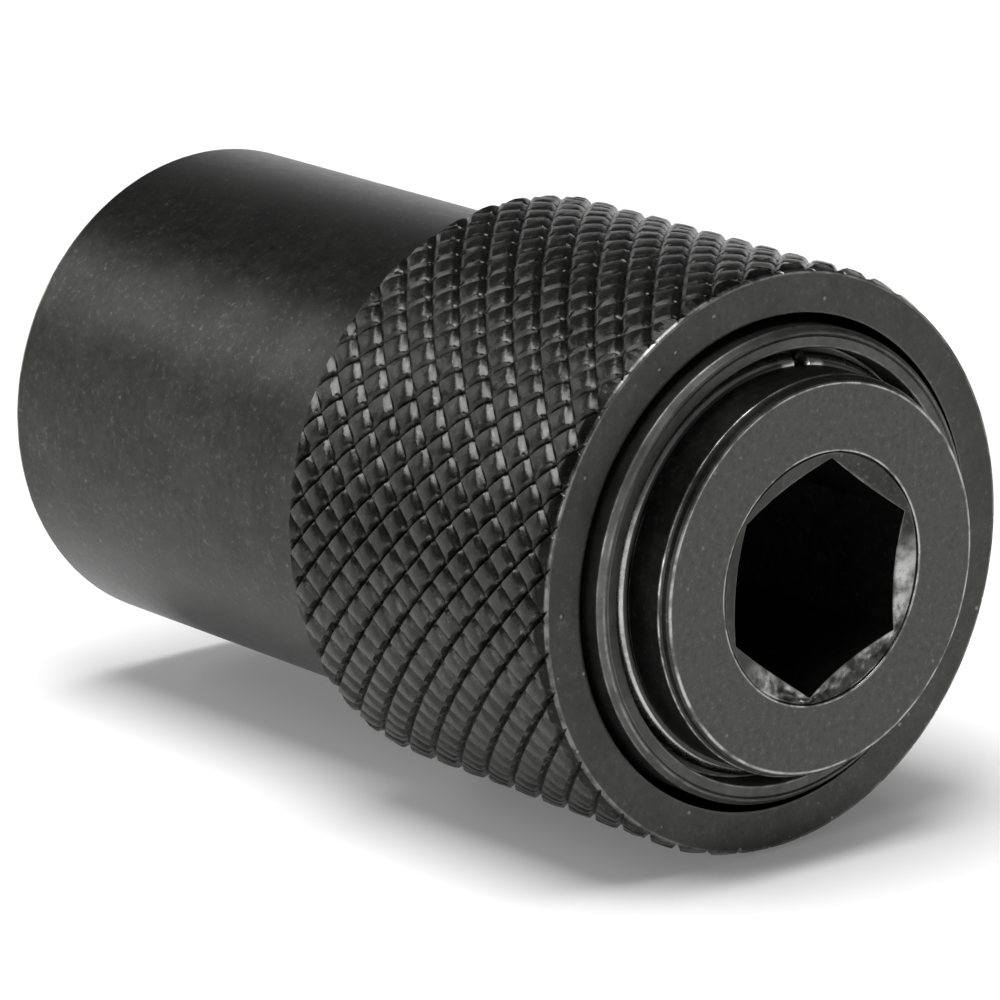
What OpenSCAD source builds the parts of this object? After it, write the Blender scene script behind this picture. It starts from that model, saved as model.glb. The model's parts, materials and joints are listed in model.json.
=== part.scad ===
// Quick-release drill chuck for 1/4 inch hex bits, with a threaded rear.
// Millimetres. The chuck's axis lies along +X, nose towards +X, +Z is up.
// The origin is at the mouth of the spindle thread, in the rear face.

/* [Body] */
// Length from the rear face to the nose face
body_len = 30.9; // [30:0.1:33]
// Diameter of the rear body
body_d = 15.8; // [15:0.1:16]
// Diameter of the nose that carries the sleeve's moving parts
nose_d = 12.4; // [12.3:0.1:12.5]
// Length of nose that stands out of the sleeve's front face
nose_out = 2.1; // [1.5:0.1:2.4]

/* [Hex socket] */
// Width across the flats of the hex socket
hex_af = 6.4; // [6.35:0.01:6.45]
// Distance from the ball groove to the seated end of a bit
groove_to_end = 9.5; // [9:0.1:9.6]
// Diameter of the countersink round the mouth of the socket
countersink_d = 7.8; // [7.4:0.1:8.2]
// Slope of the countersink, from the nose's face
countersink_slope = 24; // [15:1:45]
// Turn of the socket and its balls about the axis, from a corner straight up
socket_turn = -6; // [-30:1:30]

/* [Spindle thread] */
// Diameter of the thread's crests, which is the tap drill
thread_minor_d = 8.5; // [8.3:0.05:8.7]
// Depth of the thread
thread_len = 10.4; // [9:0.1:10.6]

/* [Sleeve] */
// Diameter over the knurl
knurl_d = 18.4; // [18:0.1:19]
// Diameter of the flat front face
face_d = 18; // [17.6:0.1:18]
// Length of the sleeve
sleeve_len = 12.45; // [12:0.05:12.6]
// Diameter of the front pocket round the spring
pocket_d = 15.4; // [15.3:0.1:15.6]
// Forward travel of the sleeve
pull = 2.2; // [1.8:0.1:2.2]

/* [Locking balls] */
// Diameter of a locking ball
ball_d = 3.5; // [3.5:0.05:3.5]
// Distance that a ball moves outwards for each millimetre of sleeve travel
ball_ratio = 0.22; // [0.2:0.01:0.22]

/* [Spring and retainers] */
// Diameter of the spring wire
spring_wire_d = 0.8; // [0.7:0.05:0.8]
// Number of turns of the spring
spring_turns = 3.5; // [3:0.25:3.5]
// Outer diameter of the retaining washer
washer_d = 14.8; // [14.6:0.1:14.9]
// Diameter of the snap ring's wire
ring_wire_d = 0.8; // [0.7:0.05:0.8]
// Width of the gap between the snap ring's ends
ring_gap = 0.7; // [0.5:0.1:1.5]

/* [Hidden] */
$fn = 96;
eps = 0.01;

// Radial clearance of a part that runs on another, and gap at a stop
running = 0.05;
rear_running = 0.08;
stop_gap = 0.05;

// Stations along the axis, each worked out from the nose end
face_x = body_len - nose_out;
sleeve_rear_x = face_x - sleeve_len;
ring_x = face_x - 0.05;
washer_floor_x = ring_x - ring_wire_d / 2 - 0.02;
washer_rear_x = washer_floor_x - 0.48;
washer_front_x = face_x + 0.55;
ball_x = body_len - 9.8;
land_front_x = ball_x + 1.5;
shoulder_x = ball_x - pull - 0.1;
hex_floor_x = ball_x - groove_to_end;

// Locking balls: centre when locked, and the hole that each one runs in
ball_r = ball_d / 2;
nose_r = nose_d / 2;
land_r = nose_r + running;
ball_center_r = land_r - ball_r - 0.02;
ball_hole_r = ball_r + running;
ball_lip_r = 1.32;
ball_lip_depth = 0.55;
ramp_r = land_r + 0.05;
ramp_flat = 0.3;

// Small edges
rear_chamfer = 0.3;
nose_step_len = 0.36;
nose_step = 0.08;
nose_edge = 0.1;
knurl_chamfer_len = 0.5;
sleeve_rear_chamfer = 0.25;
washer_chamfer = 0.2;
washer_recess_r = 6.76;
ring_center_r = nose_r - 0.05;
groove_floor_r = ring_center_r - ring_wire_d / 2 - 0.03;
groove_w = ring_wire_d + 0.06;
spring_mean_r = (nose_r + pocket_d / 2) / 2;
spring_side_count = 10;
spring_steps_per_turn = 28;
spring_end_share = 0.054;

// Turns a solid of revolution from a profile of [radius, x] points
module turned(profile) {
    rotate([0, 90, 0]) rotate_extrude() polygon(profile);
}

// A round bar along the axis, from x0 to x1
module bar_x(r, x0, x1) {
    translate([x0, 0, 0]) rotate([0, 90, 0]) cylinder(r = r, h = x1 - x0);
}

// Places a child, drawn along +Z at the axis, on a ball's own radial line
module at_ball(side) {
    rotate([socket_turn, 0, 0]) translate([ball_x, 0, 0]) rotate([-90 * side, 0, 0]) children();
}

// Outside of the body: rear cylinder, shoulder and nose, with the snap ring's groove
module body_blank() {
    turned([
        [0, 0],
        [body_d / 2 - rear_chamfer, 0],
        [body_d / 2, rear_chamfer],
        [body_d / 2, shoulder_x],
        [nose_r, shoulder_x],
        [nose_r, ring_x - groove_w / 2],
        [groove_floor_r, ring_x - groove_w / 2],
        [groove_floor_r, ring_x + groove_w / 2],
        [nose_r, ring_x + groove_w / 2],
        [nose_r, body_len - nose_step_len],
        [nose_r - nose_step, body_len - nose_step_len + nose_step],
        [nose_r - nose_step, body_len - nose_edge],
        [nose_r - nose_step - nose_edge, body_len],
        [0, body_len]
    ]);
}

// Hex socket with its pilot bore and the countersink at its mouth
module bit_socket() {
    sink_depth = countersink_d / 2 * tan(countersink_slope);
    bar_x(hex_af / 2, thread_len - eps, body_len);
    rotate([socket_turn, 0, 0]) translate([hex_floor_x, 0, 0]) rotate([0, 90, 0])
        cylinder(d = hex_af / cos(30), h = body_len, $fn = 6);
    translate([body_len - sink_depth, 0, 0]) rotate([0, 90, 0])
        cylinder(r1 = 0, r2 = countersink_d / 2 * (1 + eps), h = sink_depth * (1 + eps));
}

// Radial hole of a locking ball, with the lip that keeps the ball out of the socket
module ball_hole() {
    lip_z = hex_af / 2 + ball_lip_depth;
    translate([0, 0, lip_z]) cylinder(r = ball_hole_r, h = nose_r);
    translate([0, 0, hex_af / 2]) cylinder(r1 = ball_lip_r, r2 = ball_hole_r, h = ball_lip_depth + eps);
    cylinder(r = ball_lip_r, h = hex_af / 2 + eps);
}

module body() {
    color([0.27, 0.27, 0.26]) difference() {
        body_blank();
        bar_x(thread_minor_d / 2, -eps, thread_len);
        bit_socket();
        for (side = [1, -1]) at_ball(side) ball_hole();
    }
}

// The sleeve: land and ramp over the balls, open pocket for the spring at the front
module sleeve() {
    color([0.22, 0.22, 0.22]) turned([
        [body_d / 2 + rear_running, sleeve_rear_x],
        [knurl_d / 2 - sleeve_rear_chamfer, sleeve_rear_x],
        [knurl_d / 2, sleeve_rear_x + sleeve_rear_chamfer],
        [knurl_d / 2, face_x - knurl_chamfer_len],
        [face_d / 2, face_x],
        [pocket_d / 2, face_x],
        [pocket_d / 2, land_front_x],
        [land_r, land_front_x],
        [land_r, ball_x + ramp_flat],
        [ramp_r, ball_x],
        [ramp_r + ball_ratio * pull, ball_x - pull],
        [ramp_r + ball_ratio * pull, shoulder_x + stop_gap],
        [body_d / 2 + rear_running, shoulder_x + stop_gap]
    ]);
}

// Place along the spring at a share of its length: slow at both ends, where the turns close up
function spring_rise(t) = t - sin(360 * t) * spring_end_share;

// One point of the spring wire's skin: t along the wire from 0 to 1, a round the wire
function spring_point(t, a, x0, x1) =
    let (
        turn = 360 * spring_turns * t,
        r = spring_mean_r + spring_wire_d / 2 * cos(a)
    )
    [x0 + (x1 - x0) * spring_rise(t) + spring_wire_d / 2 * sin(a), r * cos(turn), r * sin(turn)];

module return_spring() {
    steps = round(spring_turns * spring_steps_per_turn);
    sides = spring_side_count;
    x0 = land_front_x + spring_wire_d / 2 + 0.02;
    x1 = washer_rear_x - spring_wire_d / 2 - 0.02;
    skin = [
        for (i = [0:steps]) for (k = [0:sides - 1])
            spring_point(i / steps, 360 * k / sides, x0, x1)
    ];
    walls = [
        for (i = [0:steps - 1]) for (k = [0:sides - 1])
            let (n = (k + 1) % sides)
            [i * sides + k, i * sides + n, (i + 1) * sides + n, (i + 1) * sides + k]
    ];
    first_cap = [for (k = [sides - 1:-1:0]) k];
    last_cap = [for (k = [0:sides - 1]) steps * sides + k];
    color([0.55, 0.56, 0.57]) polyhedron(skin, concat(walls, [first_cap, last_cap]), convexity = 8);
}

// Washer with a recess in its front face that holds the snap ring in
module retaining_washer() {
    color([0.3, 0.3, 0.29]) turned([
        [nose_r + rear_running, washer_rear_x],
        [washer_d / 2, washer_rear_x],
        [washer_d / 2, washer_front_x - washer_chamfer],
        [washer_d / 2 - washer_chamfer, washer_front_x],
        [washer_recess_r, washer_front_x],
        [washer_recess_r, washer_floor_x],
        [nose_r + rear_running, washer_floor_x]
    ]);
}

// Round-wire ring in the nose's groove, open at the top
module snap_ring() {
    gap_angle = 2 * asin(ring_gap / 2 / ring_center_r);
    color([0.7, 0.7, 0.68]) translate([ring_x, 0, 0]) rotate([socket_turn, 0, 0]) rotate([0, 90, 0])
        rotate([0, 0, 180 + gap_angle / 2])
            rotate_extrude(angle = 360 - gap_angle) translate([ring_center_r, 0]) circle(d = ring_wire_d, $fn = 32);
}

module locking_ball(side) {
    color([0.75, 0.75, 0.76]) at_ball(side) translate([0, 0, ball_center_r]) sphere(d = ball_d, $fn = 64);
}

body();
sleeve();
return_spring();
retaining_washer();
snap_ring();
locking_ball(1);  // locking_ball_1
locking_ball(-1);  // locking_ball_2
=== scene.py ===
"""Quick-release drill chuck: visible pieces, finishes and studio, built round the packed CAD model.

The chuck's axis lies along +X, nose towards +X. Lengths in the settings and the studio are metres; the code
of the chuck's meshes works in millimetres and scales once, when a mesh is made. An angle round the axis runs
from +Y towards +Z.
"""

import json
import math

import bpy
import numpy as np
from bpy.props import FloatProperty, FloatVectorProperty, IntProperty, PointerProperty
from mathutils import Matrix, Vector


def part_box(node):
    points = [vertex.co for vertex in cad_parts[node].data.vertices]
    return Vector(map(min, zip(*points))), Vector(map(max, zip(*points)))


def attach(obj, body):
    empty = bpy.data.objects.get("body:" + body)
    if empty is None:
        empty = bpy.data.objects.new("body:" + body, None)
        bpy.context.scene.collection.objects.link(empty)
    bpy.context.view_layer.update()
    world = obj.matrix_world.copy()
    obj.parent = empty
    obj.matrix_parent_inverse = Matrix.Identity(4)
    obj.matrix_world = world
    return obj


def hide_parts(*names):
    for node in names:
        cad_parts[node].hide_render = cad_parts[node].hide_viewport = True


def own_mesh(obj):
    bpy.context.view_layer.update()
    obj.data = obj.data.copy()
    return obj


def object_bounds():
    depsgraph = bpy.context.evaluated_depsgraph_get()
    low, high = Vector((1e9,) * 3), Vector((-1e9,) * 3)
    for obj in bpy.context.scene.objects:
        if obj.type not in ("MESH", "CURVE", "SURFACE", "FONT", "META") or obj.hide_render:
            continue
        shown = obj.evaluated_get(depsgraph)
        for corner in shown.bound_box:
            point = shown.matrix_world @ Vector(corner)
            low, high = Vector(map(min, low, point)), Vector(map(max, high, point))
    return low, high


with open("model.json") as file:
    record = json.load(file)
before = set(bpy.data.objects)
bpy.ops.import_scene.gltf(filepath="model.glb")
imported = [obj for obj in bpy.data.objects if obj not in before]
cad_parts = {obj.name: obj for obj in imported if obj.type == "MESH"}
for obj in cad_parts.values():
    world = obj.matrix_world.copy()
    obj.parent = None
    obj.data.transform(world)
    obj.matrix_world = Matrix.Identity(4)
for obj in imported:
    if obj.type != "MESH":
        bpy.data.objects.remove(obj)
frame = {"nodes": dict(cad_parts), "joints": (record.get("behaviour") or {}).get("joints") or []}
CAD_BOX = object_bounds()

bl_info = {
    "name": "Quick-release drill chuck",
    "version": (1, 0, 0),
    "blender": (4, 5, 0),
    "location": "View3D > Sidebar > Drill Chuck",
    "description": "Builds the visible pieces and finishes of a quick-release drill chuck",
    "category": "Mesh",
}

MM = 0.001
LOCKING_BALLS = ("locking_ball_1", "locking_ball_2")

# Millimetres: how far the thread's mouth is opened, and how far the sleeve's rear bore clears the body
THREAD_LEAD_IN = 0.45
REAR_CLEARANCE = 0.08

# Colour of the dust that sits on the oxide
DUST = (0.24, 0.24, 0.23)


def span_mm(node):
    """First and last station of a CAD node along the axis, and its outer radius, in millimetres."""
    low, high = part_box(node)
    return low.x / MM, high.x / MM, high.z / MM


# ---------------------------------------------------------------- settings


def length(name, description, millimetres, smallest=0.0):
    """A length property whose default is given in millimetres."""
    return FloatProperty(
        name=name,
        description=description,
        default=millimetres * MM,
        min=smallest * MM,
        precision=5,
        unit="LENGTH",
    )


def colour(name, description, rgb):
    """A colour property."""
    return FloatVectorProperty(
        name=name, description=description, subtype="COLOR", size=3, min=0.0, max=1.0, default=rgb
    )


def fraction(name, description, value):
    """A property from 0 to 1."""
    return FloatProperty(
        name=name, description=description, default=value, min=0.0, max=1.0, subtype="FACTOR"
    )


def degrees(name, description, value):
    """An angle property whose default is given in degrees."""
    return FloatProperty(name=name, description=description, default=math.radians(value), subtype="ANGLE")


def number(name, description, value, smallest=0.0):
    """A property that is a plain number."""
    return FloatProperty(name=name, description=description, default=value, min=smallest)


class ChuckBodySettings(bpy.types.PropertyGroup):
    """Sizes and finish of the turned body."""

    nose_diameter: length("Nose diameter", "Diameter of the nose that the sleeve slides on", 12.4)
    shoulder: length("Shoulder", "Station of the shoulder that stops the sleeve", 18.8)
    nose_chamfer: length("Nose step", "Length of the stepped chamfer at the nose", 0.36)
    hex_across_flats: length("Hex across flats", "Width of the bit socket across its flats", 6.4)
    hex_floor: length("Hex floor", "Station where the broached hexagon ends", 11.6)
    countersink: length("Countersink", "Diameter of the countersink round the socket", 7.8)
    sink_slope: degrees("Countersink slope", "Slope of the countersink, from the nose face", 24.0)
    socket_turn: degrees("Socket turn", "Turn of the socket about the axis, from a corner straight up", -6.0)
    thread_major: length("Thread major diameter", "Diameter at the thread's roots", 9.53)
    thread_minor: length("Thread minor diameter", "Diameter at the thread's crests", 8.5)
    thread_pitch: length("Thread pitch", "Distance between neighbouring threads", 1.058, 0.3)
    thread_depth: length("Thread depth", "Length of the threaded hole", 10.4)
    oxide: colour("Oxide", "Colour of the black oxide on the body", (0.040, 0.0404, 0.0384))
    ground: colour("Nose face", "Colour of the nose face", (0.071, 0.0715, 0.068))
    worn: colour("Worn edges", "Colour of the steel where the oxide is rubbed off", (0.42, 0.42, 0.41))


class SleeveSettings(bpy.types.PropertyGroup):
    """Sizes and finish of the knurled sleeve."""

    face_diameter: length("Face diameter", "Diameter of the flat front face", 18.0)
    pocket_diameter: length("Pocket diameter", "Diameter of the pocket round the spring", 15.4)
    land_diameter: length("Land diameter", "Diameter of the land that slides on the nose", 12.5)
    land_front: length("Land front", "Station of the land's front face", 22.6)
    ball_station: length("Ball station", "Station of the locking balls", 21.1)
    knurl_starts: IntProperty(name="Knurl starts", description="Grooves of each hand", default=44, min=12)
    knurl_pitch: length("Knurl pitch", "Distance between neighbouring crests along the axis", 1.285, 0.3)
    knurl_depth: length("Knurl depth", "Depth of the knurl's grooves", 0.24)
    knurl_phase: fraction("Knurl phase", "Share of a pitch that the pattern is shifted along the axis", 0.75)
    knurl_turn: fraction("Knurl turn", "Share of a tooth that the pattern is turned", 0.957)
    oxide: colour("Oxide", "Colour of the black oxide on the knurl", (0.043, 0.0434, 0.0412))
    face: colour("Face", "Colour of the sleeve's front face", (0.053, 0.0535, 0.051))
    worn: colour("Worn edges", "Colour of the steel where the oxide is rubbed off", (0.26, 0.26, 0.25))


class RetainerSettings(bpy.types.PropertyGroup):
    """Sizes and finish of the washer, snap ring, spring and balls."""

    recess_diameter: length("Recess diameter", "Diameter of the washer's recess for the snap ring", 13.52)
    recess_floor: length("Recess floor", "Station of the recess's floor", 28.33)
    washer_bore: length("Washer bore", "Diameter of the hole in the washer", 12.5)
    ring_wire: length("Ring wire", "Diameter of the snap ring's wire", 0.8)
    ring_gap: length("Ring gap", "Gap between the snap ring's ends", 0.7)
    spring_wire: length("Spring wire", "Diameter of the spring's wire", 0.8)
    spring_turns: number("Spring turns", "Turns of the spring", 3.5, smallest=2.0)
    washer_oxide: colour("Washer", "Colour of the retaining washer", (0.086, 0.0865, 0.0825))
    washer_worn: colour("Washer wear", "Colour of the washer's worn edges", (0.2, 0.2, 0.195))
    ring_colour: colour("Snap ring", "Colour of the snap ring's wire", (0.055, 0.055, 0.053))
    # Colour of the painted highlight on the snap ring's outer crest and at both ends of its gap
    ring_highlight: colour("Snap ring wear", "Colour of the snap ring where it is rubbed", (0.48, 0.48, 0.47))
    spring_colour: colour("Spring", "Colour of the spring's wire", (0.22, 0.22, 0.225))
    ball_colour: colour("Balls", "Colour of the locking balls", (0.62, 0.62, 0.63))


class StudioSettings(bpy.types.PropertyGroup):
    """Floor and camera."""

    floor_size: length("Floor size", "Side of the floor", 3000.0)
    floor_colour: colour("Floor", "Colour of the floor", (0.80, 0.80, 0.80))
    floor_glow: number("Floor glow", "Light that the floor near the chuck gives off", 0.12)
    azimuth: degrees("Azimuth", "Camera's azimuth", 50.82)
    elevation: degrees("Elevation", "Camera's elevation", 15.4)
    distance: length("Distance", "Camera's distance from its aim", 210.43)
    lens: number("Lens", "Focal length in millimetres", 239.5, smallest=20.0)
    aim: FloatVectorProperty(
        name="Aim",
        description="Point that the camera looks at",
        default=(15.98 * MM, -0.32 * MM, -0.68 * MM),
        subtype="TRANSLATION",
    )


# ---------------------------------------------------------------- outlines and meshes


def rounded_outline(corners, arc_steps=4, guard=0.05):
    """Closed outline of (station, radius) points from corners (station, radius, fillet), and its edge wear.

    Each fillet becomes an arc that wears, with a clean guard point on either side of it.
    """
    points, wear = [], []
    count = len(corners)
    for i, (x, r, fillet) in enumerate(corners):
        here = Vector((x, r))
        before = Vector(corners[i - 1][:2]) - here
        after = Vector(corners[(i + 1) % count][:2]) - here
        if fillet <= 0.0:
            points.append((x, r))
            wear.append(0.0)
            continue
        u, v = before.normalized(), after.normalized()
        half = u.angle(v) / 2
        reach = min(fillet / math.tan(half), before.length * 0.45, after.length * 0.45)
        radius = reach * math.tan(half)
        centre = here + (u + v).normalized() * (radius / math.sin(half))
        start = here + u * reach - centre
        end = here + v * reach - centre
        sweep = start.angle_signed(end)
        first = here + u * min(reach + guard, before.length * 0.48)
        last = here + v * min(reach + guard, after.length * 0.48)
        points.append(tuple(first))
        wear.append(0.0)
        for k in range(arc_steps + 1):
            turn = -sweep * k / arc_steps
            c, s = math.cos(turn), math.sin(turn)
            arm = Vector((start.x * c - start.y * s, start.x * s + start.y * c))
            points.append(tuple(centre + arm))
            wear.append(1.0)
        points.append(tuple(last))
        wear.append(0.0)
    return np.array(points), np.array(wear)


def signed_volume(points, faces):
    """Volume enclosed by triangles, negative when they face inwards."""
    a, b, c = (points[faces[:, k]] for k in range(3))
    return float(np.einsum("ij,ij->i", a, np.cross(b, c)).sum() / 6)


def new_mesh_object(name, points, faces, attributes=None, sharp_degrees=32.0):
    """Mesh object from millimetre points and triangles, facing outwards, with vertex attributes."""
    points, faces = np.asarray(points, float), np.asarray(faces, int)
    if signed_volume(points, faces) < 0:
        faces = faces[:, ::-1]
    mesh = bpy.data.meshes.new(name)
    mesh.from_pydata((points * MM).tolist(), [], faces.tolist())
    for key, values in (attributes or {}).items():
        layer = mesh.attributes.new(key, "FLOAT", "POINT")
        layer.data.foreach_set("value", np.asarray(values, np.float32).ravel())
    mesh.shade_smooth()
    mesh.set_sharp_from_angle(angle=math.radians(sharp_degrees))
    mesh.validate()
    piece = bpy.data.objects.new(name, mesh)
    bpy.context.scene.collection.objects.link(piece)
    return piece


def ring_points(stations, radii, angles):
    """Points at stations, radii and angles round the axis. Whole rings are (rings, angles) arrays."""
    c, s = np.cos(angles), np.sin(angles)
    return np.stack([stations, radii * c, radii * s], axis=-1).reshape(-1, 3)


def ring_faces(rings, sides, falling=None, closed=True):
    """Triangles between neighbouring rings. falling is True where a quad is split the other way."""
    rows = np.arange(rings if closed else rings - 1)
    i, j = np.meshgrid(rows, np.arange(sides), indexing="ij")
    below, right = (i + 1) % rings, (j + 1) % sides
    a, b, c, d = i * sides + j, i * sides + right, below * sides + right, below * sides + j
    if falling is None:
        falling = np.zeros(i.shape, bool)
    one = np.where(falling[..., None], np.stack([a, b, d], -1), np.stack([a, b, c], -1))
    two = np.where(falling[..., None], np.stack([b, c, d], -1), np.stack([a, c, d], -1))
    return np.concatenate([one.reshape(-1, 3), two.reshape(-1, 3)])


def turned_piece(name, corners, sides=256, arc_steps=4):
    """Ring-shaped turned piece from the corners of its closed section."""
    outline, wear = rounded_outline(corners, arc_steps)
    angles = np.arange(sides) * 2 * math.pi / sides
    x = np.repeat(outline[:, :1], sides, axis=1)
    r = np.repeat(outline[:, 1:], sides, axis=1)
    worn = np.repeat(wear[:, None], sides, axis=1)
    points = ring_points(x, r, angles)
    return new_mesh_object(name, points, ring_faces(len(outline), sides), {"edge_wear": worn})


def swept_wire(name, centres, radius, sides=16, nose=0.35):
    """Round wire along a list of centres, with ends rounded over nose radii."""
    centres = np.asarray(centres, float)
    tangent = np.gradient(centres, axis=0)
    tangent /= np.linalg.norm(tangent, axis=1)[:, None]
    axis = np.array([1.0, 0.0, 0.0])
    side = np.cross(tangent, axis)
    side /= np.linalg.norm(side, axis=1)[:, None]
    up = np.cross(side, tangent)
    steps = [math.radians(d) for d in (80, 60, 40, 20)]
    rows = [(0, -radius * nose * math.sin(a), math.cos(a)) for a in steps]
    rows += [(k, 0.0, 1.0) for k in range(len(centres))]
    rows += [(-1, radius * nose * math.sin(a), math.cos(a)) for a in reversed(steps)]
    turn = np.arange(sides) * 2 * math.pi / sides
    skin = []
    for k, slide, grow in rows:
        middle = centres[k] + tangent[k] * slide
        arm = np.cos(turn)[:, None] * side[k] + np.sin(turn)[:, None] * up[k]
        skin.append(middle + arm * radius * grow)
    points = np.concatenate(skin)
    faces = ring_faces(len(rows), sides, closed=False)
    last = len(points) - sides
    first_cap = [(0, k + 1, k) for k in range(1, sides - 1)]
    last_cap = [(last, last + k, last + k + 1) for k in range(1, sides - 1)]
    faces = np.concatenate([faces, first_cap, last_cap])
    return new_mesh_object(name, points, faces)


def combined(name, one, other, operation, sharp_degrees):
    """Object made of two closed meshes, by INTERSECT or DIFFERENCE; both of them are removed."""
    fewest_points = 1000
    cut = one.modifiers.new("cut", "BOOLEAN")
    cut.operation = operation
    cut.solver = "MANIFOLD"
    cut.object = other
    bpy.context.view_layer.update()
    shaped = one.evaluated_get(bpy.context.evaluated_depsgraph_get())
    mesh = bpy.data.meshes.new_from_object(shaped)
    mesh.name = name
    for spent in (one, other):
        data = spent.data
        bpy.data.objects.remove(spent)
        bpy.data.meshes.remove(data)
    if len(mesh.vertices) < fewest_points:
        raise RuntimeError(f"{name}: the two meshes share too little to make a piece")
    mesh.shade_smooth()
    mesh.set_sharp_from_angle(angle=math.radians(sharp_degrees))
    piece = bpy.data.objects.new(name, mesh)
    bpy.context.scene.collection.objects.link(piece)
    return piece


# ---------------------------------------------------------------- shader nodes


class Field:
    """One shader socket that arithmetic works on."""

    def __init__(self, graph, socket):
        self.graph = graph
        self.socket = socket

    def __add__(self, other):
        return self.graph.math("ADD", self, other)

    def __sub__(self, other):
        return self.graph.math("SUBTRACT", self, other)

    def __rsub__(self, other):
        return self.graph.math("SUBTRACT", other, self)

    def __mul__(self, other):
        return self.graph.math("MULTIPLY", self, other)

    def __pow__(self, other):
        return self.graph.math("POWER", self, other)

    def __rpow__(self, other):
        return self.graph.math("POWER", other, self)

    __radd__ = __add__
    __rmul__ = __mul__

    def between(self, low, high):
        """0 below low, 1 above high and smooth in between; high may be the smaller."""
        settings = {"interpolation_type": "SMOOTHSTEP"}
        sockets = {"Value": self, "From Min": low, "From Max": high, "To Min": 0.0, "To Max": 1.0}
        if low > high:
            sockets.update({"From Min": high, "From Max": low, "To Min": 1.0, "To Max": 0.0})
        return self.graph.node("ShaderNodeMapRange", settings, sockets).out("Result")


class Node:
    """A shader node whose outputs are read as fields."""

    def __init__(self, graph, node):
        self.graph = graph
        self.node = node

    def out(self, name):
        """The output with that name or identifier."""
        found = [s for s in self.node.outputs if s.enabled and name in (s.identifier, s.name)]
        return Field(self.graph, found[0])


class Graph:
    """Node tree of one material or world."""

    def __init__(self, tree):
        self.tree = tree
        tree.nodes.clear()

    def node(self, kind, settings=None, sockets=None):
        """New node: its settings are set first, then the values or links of its sockets."""
        made = self.tree.nodes.new(kind)
        for key, value in (settings or {}).items():
            setattr(made, key, value)
        for name, value in (sockets or {}).items():
            target = [s for s in made.inputs if s.enabled and name in (s.identifier, s.name)][0]
            if isinstance(value, Field):
                self.tree.links.new(value.socket, target)
            elif target.type == "RGBA":
                target.default_value = (*value, 1.0)
            else:
                target.default_value = value
        return Node(self, made)

    def math(self, operation, first, second):
        """One Math node on two values or fields."""
        made = self.node("ShaderNodeMath", {"operation": operation}, {"Value": first, "Value_001": second})
        return made.out("Value")

    def mix(self, factor, first, second):
        """Colour between first and second."""
        sockets = {"Factor_Float": factor, "A_Color": first, "B_Color": second}
        return self.node("ShaderNodeMix", {"data_type": "RGBA"}, sockets).out("Result_Color")

    def position(self):
        """Place on the piece, in millimetres."""
        place = self.node("ShaderNodeTexCoord").out("Object")
        scaled = self.node("ShaderNodeVectorMath", {"operation": "SCALE"}, {"Vector": place, "Scale": 1 / MM})
        return scaled.out("Vector")

    def cylindrical(self, place):
        """Station, radius and angle of a place, as three fields."""
        split = self.node("ShaderNodeSeparateXYZ", None, {"Vector": place})
        x, y, z = split.out("X"), split.out("Y"), split.out("Z")
        radius = (y * y + z * z) ** 0.5
        return x, radius, self.math("ARCTAN2", z, y)

    def vector(self, x, y, z):
        """Vector from three values or fields."""
        return self.node("ShaderNodeCombineXYZ", None, {"X": x, "Y": y, "Z": z}).out("Vector")

    def noise(self, place, scale, detail=3.0, roughness=0.55):
        """Noise from 0 to 1 at a place."""
        sockets = {"Vector": place, "Scale": scale, "Detail": detail, "Roughness": roughness}
        return self.node("ShaderNodeTexNoise", None, sockets).out("Fac")

    def specks(self, place, scale, size):
        """1 in small round specks, fading to 0 at their edges; size is a share of the gap between them."""
        cells = self.node("ShaderNodeTexVoronoi", None, {"Vector": place, "Scale": scale, "Randomness": 1.0})
        return cells.out("Distance").between(size, size * 0.4)

    def attribute(self, name):
        """Vertex attribute of the mesh."""
        return self.node("ShaderNodeAttribute", {"attribute_name": name}).out("Fac")

    def bump(self, height, strength, distance_mm):
        """Normal that follows a height field."""
        sockets = {"Height": height, "Strength": strength, "Distance": distance_mm * MM}
        return self.node("ShaderNodeBump", None, sockets).out("Normal")


def shade(rgb, factor):
    """Colour made lighter or darker by a factor."""
    return tuple(part * factor for part in rgb)


def new_finish(name, build):
    """Material of one finish. build(graph) returns the values of the shader's sockets."""
    material = bpy.data.materials.new(name)
    material.use_nodes = True
    graph = Graph(material.node_tree)
    shader = graph.node("ShaderNodeBsdfPrincipled", None, build(graph))
    graph.node("ShaderNodeOutputMaterial", None, {"Surface": shader.out("BSDF")})
    return material


def turning_marks(graph, place, per_mm):
    """Fine marks that run round the axis, as a lathe tool leaves them."""
    x, radius, angle = graph.cylindrical(place)
    along = graph.vector(x * per_mm, radius * per_mm, angle * 0.8)
    return graph.noise(along, scale=1.0, detail=2.0, roughness=0.6)


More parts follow.
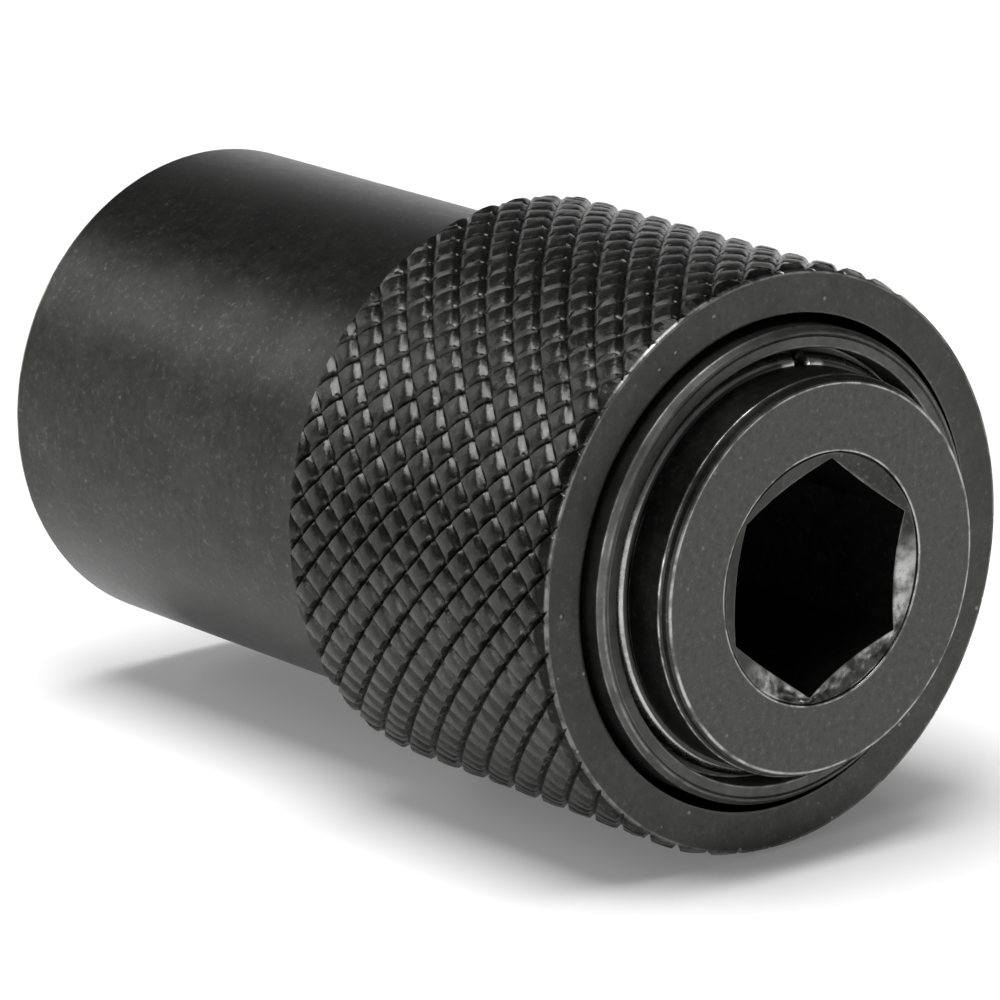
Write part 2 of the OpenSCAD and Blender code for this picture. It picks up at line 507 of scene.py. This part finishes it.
def oxide_metal(name, base, worn, roughness, marks_per_mm=9.0, marks=0.12, ground=None, ground_from=0.0):
    """Black oxide on turned steel: mottled tone, fine grain, dust specks, and bright worn edges.

    Where a ground colour is given, the steel in front of station ground_from has that colour instead.
    """

    def build(graph):
        place = graph.position()
        mottle = graph.noise(place, scale=0.55, detail=4.0)
        cloud = graph.noise(place, scale=2.3, detail=3.0)
        grain = graph.noise(place, scale=22.0, detail=2.0)
        grit = graph.noise(place, scale=4.5, detail=5.0, roughness=0.75)
        lathe = turning_marks(graph, place, marks_per_mm)
        dust = graph.specks(place, scale=1.1, size=0.09)
        chipped = graph.noise(place, scale=1.6, detail=4.0).between(0.36, 0.62)
        wear = graph.attribute("edge_wear") * (chipped * 0.9 + 0.1)
        patches = (mottle * 0.55 + cloud * 0.45).between(0.32, 0.68)
        tone = graph.mix(patches, shade(base, 0.78), shade(base, 1.28))
        if ground is not None:
            x, _, _ = graph.cylindrical(place)
            on_face = x.between(ground_from - 0.02, ground_from)
            tone = graph.mix(on_face, tone, graph.mix(cloud, shade(ground, 0.9), shade(ground, 1.1)))
        tone = graph.mix(grit.between(0.5, 0.32) * 0.3, tone, shade(base, 0.45))
        tone = graph.mix(grit.between(0.54, 0.7) * 0.13, tone, worn)
        tone = graph.mix(dust * 0.35, tone, DUST)
        tone = graph.mix(wear, tone, worn)
        rough = roughness + (cloud - 0.5) * 0.12 + (grain - 0.5) * 0.10 - wear * 0.1
        height = lathe * marks + grain * 0.35 + dust * 0.8
        return {
            "Base Color": tone,
            "Metallic": 1.0,
            "Roughness": rough,
            "Normal": graph.bump(height, strength=0.5, distance_mm=0.012),
        }

    return new_finish(name, build)


def knurl_metal(name, base, face, worn, front, face_r, pocket_r, outer_r, depth):
    """Black oxide on the knurled sleeve: painted shade in the grooves and on the front chamfer, grainy pads,
    and a turned face with bright rims.

    front is the face's station, and the face lies from pocket_r to face_r. The knurl lies outside it, out to
    outer_r, and its grooves have that depth.
    """

    def build(graph):
        place = graph.position()
        x, radius, _ = graph.cylindrical(place)
        mottle = graph.noise(place, scale=0.6, detail=4.0)
        grain = graph.noise(place, scale=9.0, detail=3.0)
        lathe = turning_marks(graph, place, per_mm=9.0)
        dust = graph.specks(place, scale=1.1, size=0.1)
        grit = graph.noise(place, scale=4.5, detail=5.0, roughness=0.75)
        on_face = x.between(front - 0.02, front - 0.005)
        chamfer = x.between(front - 0.5, front - 0.36)
        pads = radius.between(outer_r - depth * 0.45, outer_r - depth * 0.12)
        above_grooves = radius.between(outer_r - depth * 0.98, outer_r - depth * 0.6)
        chipped = graph.noise(place, scale=1.9, detail=4.0).between(0.35, 0.65)
        outer_rim = radius.between(face_r - 0.1, face_r - 0.05) * x.between(front - 0.12, front - 0.06)
        inner_rim = radius.between(pocket_r + 0.09, pocket_r + 0.04) * x.between(front - 0.1, front - 0.05)
        rim = outer_rim * (0.12 + chipped * 0.5) + inner_rim * 0.2
        patches = mottle.between(0.3, 0.7)
        turned = graph.mix(patches, shade(face, 0.9), shade(face, 1.12))
        tone = graph.mix(patches, shade(base, 0.82), shade(base, 1.2))
        # painted shade: the grooves' deep parts are darkened to a fifth of the oxide colour, where shade
        # falls
        tone = graph.mix(above_grooves, shade(base, 0.2), tone)
        # painted shade: the front chamfer's scallops are darkened to a near black so that they catch no light
        tone = graph.mix(chamfer * 0.75, tone, shade(base, 0.15))
        tone = graph.mix(on_face, tone, turned)
        tone = graph.mix(grit.between(0.5, 0.32) * 0.3, tone, shade(base, 0.5))
        tone = graph.mix(grit.between(0.54, 0.7) * 0.14, tone, worn)
        tone = graph.mix(dust * on_face * 0.6, tone, worn)
        tone = graph.mix(rim, tone, worn)
        rough = 0.29 + pads * 0.05 + on_face * 0.06 + (grain - 0.5) * 0.16
        height = grain * (0.3 + pads * 0.7) + lathe * 0.1 + dust * on_face
        return {
            "Base Color": tone,
            "Metallic": 1.0,
            "Roughness": rough,
            "Normal": graph.bump(height, strength=0.5, distance_mm=0.03),
        }

    return new_finish(name, build)


def wire_metal(name, base, roughness):
    """Drawn spring wire: smooth, with fine grain and oil-dark patches."""

    def build(graph):
        place = graph.position()
        patch = graph.noise(place, scale=1.4, detail=4.0)
        grain = graph.noise(place, scale=16.0, detail=2.0)
        tone = graph.mix(patch.between(0.35, 0.65), shade(base, 0.7), shade(base, 1.15))
        return {
            "Base Color": tone,
            "Metallic": 1.0,
            "Roughness": roughness + (patch - 0.5) * 0.15,
            "Normal": graph.bump(grain, strength=0.3, distance_mm=0.006),
        }

    return new_finish(name, build)


def ring_metal(name, base, worn, crest_r, gap_angle, half_gap):
    """Dark spring wire with a painted highlight from radius crest_r outwards and at both ends of the gap."""

    def build(graph):
        place = graph.position()
        _, radius, angle = graph.cylindrical(place)
        patch = graph.noise(place, scale=1.8, detail=4.0)
        grain = graph.noise(place, scale=16.0, detail=2.0)
        past_gap = angle - gap_angle
        from_gap = (past_gap * past_gap) ** 0.5
        # painted highlight: the wire is brightened at both ends of the gap and along its outer crest, where
        # light glints; the colour passed in as worn is this highlight
        ends = from_gap.between(half_gap + 0.09, half_gap + 0.05)
        crest_highlight = radius.between(crest_r - 0.04, crest_r) * (patch.between(0.3, 0.55) * 0.5 + 0.5)
        painted_highlight = graph.math("MAXIMUM", ends, crest_highlight)
        return {
            "Base Color": graph.mix(painted_highlight, base, worn),
            "Metallic": 1.0,
            "Roughness": 0.34 - painted_highlight * 0.08 + (patch - 0.5) * 0.12,
            "Normal": graph.bump(grain, strength=0.3, distance_mm=0.006),
        }

    return new_finish(name, build)


def ball_metal(name, base):
    """Polished bearing steel with a few hairline scuffs."""

    def build(graph):
        place = graph.position()
        scuff = graph.noise(place, scale=6.0, detail=5.0, roughness=0.7)
        tone = graph.mix(scuff.between(0.55, 0.75), base, shade(base, 0.75))
        return {
            "Base Color": tone,
            "Metallic": 1.0,
            "Roughness": 0.12 + scuff * 0.14,
            "Normal": graph.bump(scuff, strength=0.1, distance_mm=0.004),
        }

    return new_finish(name, build)


def dress(piece, material):
    """Gives a piece its material."""
    piece.data.materials.clear()
    piece.data.materials.append(material)


# ---------------------------------------------------------------- the body


def hex_radius(angles, flat_r, turn):
    """Distance from the axis to the wall of the hexagon at each angle, a corner being up at turn 0."""
    sixth = math.pi / 3
    from_flat = np.mod(angles - turn + sixth / 2, sixth) - sixth / 2
    return flat_r / np.cos(from_flat)


def thread_radius(angles, x, minor, major, pitch, depth):
    """Radius of a right-hand internal thread with flat crests, running out before the hole's end."""
    root_flat, crest_flat, runout = 0.14, 0.12, 0.9
    phase = np.mod(x / pitch - angles / (2 * math.pi), 1.0)
    from_root = np.abs(phase - 0.5) * 2
    ridge = np.clip((from_root - root_flat) / (1 - root_flat - crest_flat), 0.0, 1.0)
    fade = np.clip((depth - runout - x) / pitch, 0.0, 1.0)
    return minor / 2 + (major - minor) / 2 * (1 - ridge) * fade


def body_outside(sizes, front, outer_r):
    """Corners of the body's outside from the rear face to the nose face, as (station, radius, fillet)."""
    nose_r, shoulder = sizes.nose_diameter / MM / 2, sizes.shoulder / MM
    rear_chamfer = 0.3
    ring_rear, ring_front, _ = span_mm("snap_ring")
    ring_play, groove_depth = 0.03, 0.48
    groove_rear, groove_front, groove_r = ring_rear - ring_play, ring_front + ring_play, nose_r - groove_depth
    step_rear = front - sizes.nose_chamfer / MM
    step, taper, edge = 0.08, 0.005, 0.1
    return [
        (0.0, sizes.thread_major / MM / 2 + THREAD_LEAD_IN, 0.04),
        (0.0, outer_r - rear_chamfer, 0.05),
        (rear_chamfer, outer_r, 0.06),
        (shoulder, outer_r, 0.05),
        (shoulder, nose_r, 0.0),
        (groove_rear, nose_r, 0.03),
        (groove_rear, groove_r, 0.05),
        (groove_front, groove_r, 0.05),
        (groove_front, nose_r, 0.03),
        (step_rear, nose_r, 0.04),
        (step_rear + step, nose_r - step, 0.0),
        (front - edge, nose_r - step - taper, 0.0),
        (front, nose_r - step - taper - edge, 0.05),
        (front, sizes.countersink / MM / 2, 0.03),
    ]


def ball_hole_cutter(ball, flat_r, outer_r):
    """Solid that cuts a locking ball's radial hole, with the lip that keeps the ball out of the socket."""
    low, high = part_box(ball)
    middle = (low + high) / 2 / MM
    on_axis = np.array([middle.x, 0.0, 0.0])
    along = np.array([1.0, 0.0, 0.0])
    out = np.array(Vector((0.0, middle.y, middle.z)).normalized())
    across = np.cross(out, along)
    play, lip, lip_depth = 0.05, 0.48, 0.55
    hole_r = (high.x - low.x) / MM / 2 + play
    lip_r = hole_r - lip
    start = flat_r - 0.6
    section = [(lip_r, start), (lip_r, flat_r), (hole_r, flat_r + lip_depth), (hole_r, outer_r)]
    sides = 48
    turns = np.arange(sides) * 2 * math.pi / sides
    arms = np.outer(np.cos(turns), along) + np.outer(np.sin(turns), across)
    rings = [on_axis + out * distance + arms * radius for radius, distance in section]
    points = np.concatenate([[on_axis + out * start], *rings, [on_axis + out * outer_r]])
    faces = (ring_faces(len(section), sides, closed=False) + 1).tolist()
    last = len(points) - 1
    for k in range(sides):
        after = (k + 1) % sides
        faces.append([0, 1 + after, 1 + k])
        faces.append([last, last - sides + k, last - sides + after])
    return new_mesh_object("ball_hole_cutter", points, faces)


def build_body(sizes):
    """Turned body: outside, threaded rear hole, pilot bore, broached hexagon and countersink in one skin."""
    _, front, outer_r = span_mm("body")
    sides, tear_rows, hex_rows, thread_rows_per_pitch = 288, 8, 24, 12
    turn = sizes.socket_turn
    angles = turn + math.pi / 2 + np.arange(sides) * 2 * math.pi / sides
    thread_end, pitch = sizes.thread_depth / MM, sizes.thread_pitch / MM
    minor, major = sizes.thread_minor / MM, sizes.thread_major / MM
    flat_r, hex_floor = sizes.hex_across_flats / MM / 2, sizes.hex_floor / MM
    pilot_r = flat_r - 0.02
    wall = hex_radius(angles, flat_r, turn)
    sink_r = sizes.countersink / MM / 2
    sink_floor = front - (sink_r - wall) * math.tan(sizes.sink_slope)
    rows = []

    def add(x, r, worn=0.0):
        rows.append(np.broadcast_arrays(x, r, worn, angles)[:3])

    outline, edge_wear = rounded_outline(body_outside(sizes, front, outer_r))
    for (x, r), worn in zip(outline, edge_wear):
        add(x, r, worn)
    # bits have torn the countersink ragged round its bottom, a little towards +Y
    torn_turn, tear_depth = 0.44, 0.07
    torn = np.clip(-np.sin(angles - torn_turn) * 2 - 0.4, 0, 1)
    chance = np.random.default_rng(5)
    for k in range(1, tear_rows):
        part = k / tear_rows
        ragged = np.convolve(chance.uniform(0, 1, sides + 2), [0.25, 0.5, 0.25], "valid")
        tear = ragged * torn * tear_depth * math.sin(part * math.pi)
        x = front + (sink_floor - front) * part - tear
        add(x, sink_r + (wall - sink_r) * part, np.minimum(torn * 1.6, 1.0))
    add(sink_floor, wall, 0.35)
    add(sink_floor - 0.06, wall)
    wall_front = front - 1.3
    for x in np.linspace(wall_front, hex_floor, hex_rows + 1)[1:]:
        add(x, wall)
    add(hex_floor, pilot_r)
    add(thread_end, pilot_r)
    thread_rows = round(thread_end / pitch * thread_rows_per_pitch)
    for k in range(thread_rows, 0, -1):
        x = thread_end * k / thread_rows
        thread_r = thread_radius(angles, x, minor, major, pitch, thread_end)
        add(x, np.maximum(thread_r, major / 2 + THREAD_LEAD_IN - x))
    x, r, worn = np.array(rows).swapaxes(0, 1)
    points = ring_points(x, r, angles)
    piece = new_mesh_object("chuck_body", points, ring_faces(len(x), sides), {"edge_wear": worn})
    for ball in LOCKING_BALLS:
        piece = combined("chuck_body", piece, ball_hole_cutter(ball, flat_r, outer_r), "DIFFERENCE", 32.0)
    return piece


# ---------------------------------------------------------------- the sleeve


def groove_rise(share, half_width):
    """Height of a groove's walls at shares of a pitch, from 0 at its bottom to 1 on the pads."""
    return np.clip(np.minimum(share, 1 - share) / half_width, 0, 1)


def knurled_blank(sizes, low, high, outer_r):
    """Tube with two crossing families of 45 degree grooves outside, a little longer than the sleeve.

    The mesh follows the grooves: its two families of edges are lines of equal u and of equal v.
    """
    starts, pitch, depth = sizes.knurl_starts, sizes.knurl_pitch / MM, sizes.knurl_depth / MM
    inner_r, pitches_over = 5.0, 0.7
    shares = np.array([0.0, 0.07, 0.14, 0.24, 0.5, 0.76, 0.86, 0.93])
    count = len(shares)
    first = math.floor(2 * (low / pitch - pitches_over)) * count
    last = math.ceil(2 * (high / pitch + pitches_over + sizes.knurl_phase)) * count
    columns, steps = np.meshgrid(np.arange(starts * count), np.arange(first, last + 1), indexing="ij")
    u_index = columns + steps
    u = u_index // count + shares[u_index % count]
    v = columns // count + shares[columns % count]
    angles = ((u + v) / 2 - sizes.knurl_turn) * 2 * math.pi / starts
    x = ((u - v) / 2 - sizes.knurl_phase) * pitch
    share_u, share_v = np.mod(u, 1), np.mod(v, 1)
    # the shallow grooves widen from one deep groove to the next, so their walls are three-cornered
    deep_half, shallow_half, widening, shallow_floor = 0.14, 0.11, 0.18, 0.34
    shallow = groove_rise(share_v, shallow_half + widening * share_u) * (1 - shallow_floor) + shallow_floor
    rise = np.minimum(groove_rise(share_u, deep_half), shallow)
    dome = 0.05 * ((share_u * 2 - 1) ** 2 + (share_v * 2 - 1) ** 2)
    # each pad is a little higher or lower than its neighbours, and its skin is a little rough
    lowest_pad, highest_pad, roughness = -0.018, 0.015, 0.006
    chance = np.random.default_rng(11)
    pads = chance.uniform(lowest_pad, highest_pad, (starts, last // count - first // count + 2))
    uneven = pads[columns // count, u_index // count - columns // count - first // count]
    ripple = chance.normal(0.0, roughness, u.shape)
    radius = outer_r - depth + rise * (depth - highest_pad + uneven - dome) + ripple
    outside = np.stack([x, radius * np.cos(angles), radius * np.sin(angles)], -1)
    inside = []
    for column in (-1, 0):
        end_x, end_a = x[:, column], angles[:, column]
        inside.append(np.stack([end_x, inner_r * np.cos(end_a), inner_r * np.sin(end_a)], -1))
    points = np.concatenate([outside, np.stack(inside, 1)], axis=1)
    rings, sides = points.shape[:2]
    faces = ring_faces(rings, sides, np.ones((rings, sides), bool))
    return new_mesh_object("knurled_blank", points.reshape(-1, 3), faces)


def build_sleeve(sizes):
    """Knurled sleeve: diamond knurl outside, rear bore, ball ramp, land and open front pocket inside."""
    low, high, outer_r = span_mm("sleeve")
    rear_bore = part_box("body")[1].z / MM + REAR_CLEARANCE
    face_r, pocket = sizes.face_diameter / MM / 2, sizes.pocket_diameter / MM / 2
    land, land_front = sizes.land_diameter / MM / 2, sizes.land_front / MM
    ball = sizes.ball_station / MM
    ramp_front, ramp_rear = ball + 0.3, ball - 2.25
    ramp_start_r, ramp_end_r = land + 0.05, land + 0.54
    rear_chamfer, front_chamfer = 0.25, 0.5
    # the outline stands clear of the knurl between its chamfers, which run on outwards at their own slopes
    clear = 0.3
    front_slope = front_chamfer / (outer_r - face_r)
    turned = turned_piece(
        "sleeve_outline",
        [
            (high, face_r, 0.05),
            (high, pocket, 0.07),
            (land_front, pocket, 0.1),
            (land_front, land, 0.05),
            (ramp_front, land, 0.0),
            (ball, ramp_start_r, 0.0),
            (ramp_rear, ramp_end_r, 0.0),
            (ramp_rear, rear_bore, 0.0),
            (low, rear_bore, 0.05),
            (low, outer_r - rear_chamfer, 0.03),
            (low + rear_chamfer + clear, outer_r + clear, 0.0),
            (high - front_slope * (outer_r - face_r + clear), outer_r + clear, 0.0),
        ],
        sides=352,
        arc_steps=2,
    )
    return combined("knurled_sleeve", knurled_blank(sizes, low, high, outer_r), turned, "INTERSECT", 28.0)


# ---------------------------------------------------------------- retainers and spring


def build_washer(sizes):
    """Retaining washer: flat face, recess for the snap ring, and a shallow turned line on its face."""
    low, high, outer_r = span_mm("retaining_washer")
    bore, recess = sizes.washer_bore / MM / 2, sizes.recess_diameter / MM / 2
    floor = sizes.recess_floor / MM
    chamfer_len, chamfer_depth, crown = 0.2, 0.16, 0.02
    line_r, line_half, line_depth = (outer_r + recess) / 2 + 0.05, 0.04, 0.03
    return turned_piece(
        "retaining_washer_turned",
        [
            (low, bore, 0.04),
            (low, outer_r, 0.06),
            (high - chamfer_len, outer_r, 0.06),
            (high - crown, outer_r - chamfer_depth, 0.05),
            (high, line_r + line_half, 0.0),
            (high - line_depth, line_r, 0.0),
            (high, line_r - line_half, 0.0),
            (high, recess, 0.04),
            (floor, recess, 0.05),
            (floor, bore, 0.04),
        ],
    )


def ring_place(sizes, socket_turn):
    """Radius to the middle of the snap ring's wire, and the angle and half width of its gap."""
    middle_r = span_mm("snap_ring")[2] - sizes.ring_wire / MM / 2
    return middle_r, socket_turn + math.pi / 2, math.asin(sizes.ring_gap / MM / 2 / middle_r)


def build_snap_ring(sizes, socket_turn):
    """Round-wire snap ring with its gap at the top."""
    low, high, _ = span_mm("snap_ring")
    middle_r, gap_angle, half_gap = ring_place(sizes, socket_turn)
    count = 220
    angles = np.linspace(gap_angle + half_gap, gap_angle + 2 * math.pi - half_gap, count)
    centres = ring_points(np.full(count, (low + high) / 2), np.full(count, middle_r), angles)
    return swept_wire("snap_ring_wire", centres, sizes.ring_wire / MM / 2, sides=24)


def build_spring(sizes):
    """Compression spring with closed ends."""
    low, high, outer_r = span_mm("return_spring")
    wire_r = sizes.spring_wire / MM / 2
    steps_per_turn, closing = 48, 0.054
    along = np.linspace(0, 1, round(sizes.spring_turns * steps_per_turn))
    x = low + wire_r + (high - low - 2 * wire_r) * (along - np.sin(2 * math.pi * along) * closing)
    angles = -2 * math.pi * sizes.spring_turns * along + math.pi / 2
    centres = ring_points(x, np.full_like(x, outer_r - wire_r), angles)
    return swept_wire("return_spring_coil", centres, wire_r, nose=0.1)


# ---------------------------------------------------------------- studio


def floor_finish(pale, near_glow):
    """Pale matt floor that glows a little near the chuck and goes to white far from it."""

    def build(graph):
        place = graph.position()
        mottle = graph.noise(place, scale=0.02)
        split = graph.node("ShaderNodeSeparateXYZ", None, {"Vector": place})
        x, y = split.out("X"), split.out("Y")
        far = ((x * x + y * y) ** 0.5).between(120.0, 900.0)
        return {
            "Base Color": graph.mix(mottle, shade(pale, 0.99), pale),
            "Roughness": 0.9,
            "Emission Color": graph.mix(far, (near_glow,) * 3, (0.95, 0.95, 0.95)),
            "Emission Strength": 1.0,
        }

    return new_finish("pale_floor", build)


def build_floor(studio, level):
    """Plain pale floor at the level that the chuck lies on."""
    half = studio.floor_size / 2
    mesh = bpy.data.meshes.new("floor")
    corners = [(-half, -half, level), (half, -half, level), (half, half, level), (-half, half, level)]
    mesh.from_pydata(corners, [], [(0, 1, 2, 3)])
    floor = bpy.data.objects.new("floor", mesh)
    bpy.context.scene.collection.objects.link(floor)
    mesh.materials.append(floor_finish(tuple(studio.floor_colour), studio.floor_glow))


def build_world():
    """Soft surround: white round the horizon, reaching highest past the chuck's rear, and dark overhead."""
    white, dark = (1.0, 1.0, 1.0), (0.1, 0.1, 0.1)
    world = bpy.data.worlds.new("studio")
    bpy.context.scene.world = world
    world.use_nodes = True
    graph = Graph(world.node_tree)
    direction = graph.node("ShaderNodeTexCoord").out("Generated")
    split = graph.node("ShaderNodeSeparateXYZ", None, {"Vector": direction})
    off_rear = split.out("X").between(-0.7, -0.3)
    lift = (split.out("Z") * (off_rear * 0.8 + 1.0)).between(0.1, 0.46)
    tone = graph.mix(lift, white, dark)
    background = graph.node("ShaderNodeBackground", None, {"Color": tone, "Strength": 1.0})
    graph.node("ShaderNodeOutputWorld", None, {"Surface": background.out("Background")})


def way_to(azimuth, elevation):
    """Unit vector towards an azimuth, which is 0 at -Y and a quarter turn at +X, and an elevation."""
    level = math.cos(elevation)
    return Vector((math.sin(azimuth) * level, -math.cos(azimuth) * level, math.sin(elevation)))


def place_facing(thing, target, way, distance):
    """Puts a light or a camera at a distance from its target, facing it, and adds it to the scene."""
    thing.location = target + way * distance
    thing.rotation_mode = "QUATERNION"
    thing.rotation_quaternion = way.to_track_quat("Z", "Y")
    bpy.context.scene.collection.objects.link(thing)


def add_softbox(name, target, azimuth, elevation, distance, size, watts, glossy=True):
    """Square area light that faces a target from a direction given in degrees."""
    data = bpy.data.lights.new(name, "AREA")
    data.shape = "SQUARE"
    data.size = size
    data.energy = watts
    lamp = bpy.data.objects.new(name, data)
    lamp.visible_glossy = glossy
    place_facing(lamp, target, way_to(math.radians(azimuth), math.radians(elevation)), distance)


def build_camera(studio):
    """Long-lens camera ahead of the nose on its -Y side, a little above it."""
    data = bpy.data.cameras.new("camera")
    data.lens = studio.lens
    data.sensor_width = 36.0
    data.clip_start = 0.01
    data.clip_end = 20.0
    camera = bpy.data.objects.new("camera", data)
    place_facing(camera, Vector(studio.aim), way_to(studio.azimuth, studio.elevation), studio.distance)
    bpy.context.scene.camera = camera


# ---------------------------------------------------------------- operators


class DRILLCHUCK_OT_studio(bpy.types.Operator):
    """Make the floor, the lights and the camera"""

    bl_idname = "drill_chuck.studio"
    bl_label = "Studio"

    def execute(self, context):
        studio = context.scene.chuck_studio
        low, high = CAD_BOX
        middle = (low + high) / 2
        build_camera(studio)
        build_floor(studio, low.z)
        build_world()
        add_softbox("rear_softbox", middle, 302.0, 30.5, distance=0.35, size=0.15, watts=0.19)
        add_softbox("left_softbox", middle, 24.0, 6.0, distance=0.5, size=0.27, watts=0.8)
        add_softbox("top_softbox", middle, 10.0, 79.0, distance=0.9, size=0.54, watts=7.4)
        add_softbox("floor_light", middle, 0.0, 89.0, distance=0.9, size=0.9, watts=3.6, glossy=False)
        context.scene.view_settings.view_transform = "Standard"
        return {"FINISHED"}


class DRILLCHUCK_OT_body(bpy.types.Operator):
    """Make the turned body with its socket and thread"""

    bl_idname = "drill_chuck.body"
    bl_label = "Body"

    def execute(self, context):
        sizes = context.scene.chuck_body
        piece = build_body(sizes)
        metal = oxide_metal(
            "body_oxide",
            tuple(sizes.oxide),
            tuple(sizes.worn),
            0.36,
            ground=tuple(sizes.ground),
            ground_from=span_mm("body")[1] - 0.03,
        )
        dress(piece, metal)
        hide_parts("body")
        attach(piece, "chuck_body")
        return {"FINISHED"}


class DRILLCHUCK_OT_sleeve(bpy.types.Operator):
    """Make the knurled sleeve"""

    bl_idname = "drill_chuck.sleeve"
    bl_label = "Sleeve"

    def execute(self, context):
        sizes = context.scene.chuck_sleeve
        piece = build_sleeve(sizes)
        _, front, outer_r = span_mm("sleeve")
        metal = knurl_metal(
            "sleeve_oxide",
            tuple(sizes.oxide),
            tuple(sizes.face),
            tuple(sizes.worn),
            front=front,
            face_r=sizes.face_diameter / MM / 2,
            pocket_r=sizes.pocket_diameter / MM / 2,
            outer_r=outer_r,
            depth=sizes.knurl_depth / MM,
        )
        dress(piece, metal)
        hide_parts("sleeve")
        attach(piece, "sleeve")
        return {"FINISHED"}


class DRILLCHUCK_OT_washer(bpy.types.Operator):
    """Make the retaining washer"""

    bl_idname = "drill_chuck.washer"
    bl_label = "Retaining washer"

    def execute(self, context):
        sizes = context.scene.chuck_retainers
        piece = build_washer(sizes)
        metal = oxide_metal(
            "washer_oxide", tuple(sizes.washer_oxide), tuple(sizes.washer_worn), 0.46, marks=0.5
        )
        dress(piece, metal)
        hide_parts("retaining_washer")
        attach(piece, "spring_stack")
        return {"FINISHED"}


class DRILLCHUCK_OT_snap_ring(bpy.types.Operator):
    """Make the snap ring"""

    bl_idname = "drill_chuck.snap_ring"
    bl_label = "Snap ring"

    def execute(self, context):
        sizes = context.scene.chuck_retainers
        socket_turn = context.scene.chuck_body.socket_turn
        piece = build_snap_ring(sizes, socket_turn)
        middle_r, gap_angle, half_gap = ring_place(sizes, socket_turn)
        # radius from which the painted highlight runs along the wire's crest
        crest_r = middle_r + sizes.ring_wire / MM / 4
        metal = ring_metal(
            "ring_wire", tuple(sizes.ring_colour), tuple(sizes.ring_highlight), crest_r, gap_angle, half_gap
        )
        dress(piece, metal)
        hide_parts("snap_ring")
        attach(piece, "chuck_body")
        return {"FINISHED"}


class DRILLCHUCK_OT_spring(bpy.types.Operator):
    """Make the return spring"""

    bl_idname = "drill_chuck.spring"
    bl_label = "Return spring"

    def execute(self, context):
        sizes = context.scene.chuck_retainers
        piece = build_spring(sizes)
        dress(piece, wire_metal("spring_wire", tuple(sizes.spring_colour), 0.3))
        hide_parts("return_spring")
        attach(piece, "spring_stack")
        low, high, _ = span_mm("return_spring")
        pull = next(joint for joint in frame["joints"] if joint["name"] == "sleeve_pull")
        travel = pull["range_m"][1] / MM
        1 - travel / (high - low)
        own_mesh(piece)
        return {"FINISHED"}


class DRILLCHUCK_OT_balls(bpy.types.Operator):
    """Polish the locking balls"""

    bl_idname = "drill_chuck.balls"
    bl_label = "Locking balls"

    def execute(self, context):
        metal = ball_metal("ball_steel", tuple(context.scene.chuck_retainers.ball_colour))
        for ball in LOCKING_BALLS:
            dress(frame["nodes"][ball], metal)
        return {"FINISHED"}


OPERATORS = [
    DRILLCHUCK_OT_studio,
    DRILLCHUCK_OT_body,
    DRILLCHUCK_OT_sleeve,
    DRILLCHUCK_OT_washer,
    DRILLCHUCK_OT_snap_ring,
    DRILLCHUCK_OT_spring,
    DRILLCHUCK_OT_balls,
]
SETTINGS = {
    "chuck_body": ChuckBodySettings,
    "chuck_sleeve": SleeveSettings,
    "chuck_retainers": RetainerSettings,
    "chuck_studio": StudioSettings,
}


class DRILLCHUCK_PT_build(bpy.types.Panel):
    """Lists the chuck's pieces and their settings"""

    bl_label = "Drill Chuck"
    bl_idname = "DRILLCHUCK_PT_build"
    bl_space_type = "VIEW_3D"
    bl_region_type = "UI"
    bl_category = "Drill Chuck"

    def draw(self, context):
        for operator in OPERATORS:
            self.layout.operator(operator.bl_idname)
        for name, group in SETTINGS.items():
            box = self.layout.box()
            box.label(text=group.__doc__)
            for key in group.__annotations__:
                box.prop(getattr(context.scene, name), key)


def register():
    """Adds the settings, the operators and the panel."""
    for group in SETTINGS.values():
        bpy.utils.register_class(group)
    for name, group in SETTINGS.items():
        setattr(bpy.types.Scene, name, PointerProperty(type=group))
    for operator in OPERATORS:
        bpy.utils.register_class(operator)
    bpy.utils.register_class(DRILLCHUCK_PT_build)


def unregister():
    """Removes the panel, the operators and the settings."""
    bpy.utils.unregister_class(DRILLCHUCK_PT_build)
    for operator in reversed(OPERATORS):
        bpy.utils.unregister_class(operator)
    for name in SETTINGS:
        delattr(bpy.types.Scene, name)
    for group in SETTINGS.values():
        bpy.utils.unregister_class(group)


def main():
    """Builds every piece and the studio."""
    register()
    for operator in OPERATORS:
        family, name = operator.bl_idname.split(".")
        getattr(getattr(bpy.ops, family), name)()


if __name__ == "__main__":
    main()
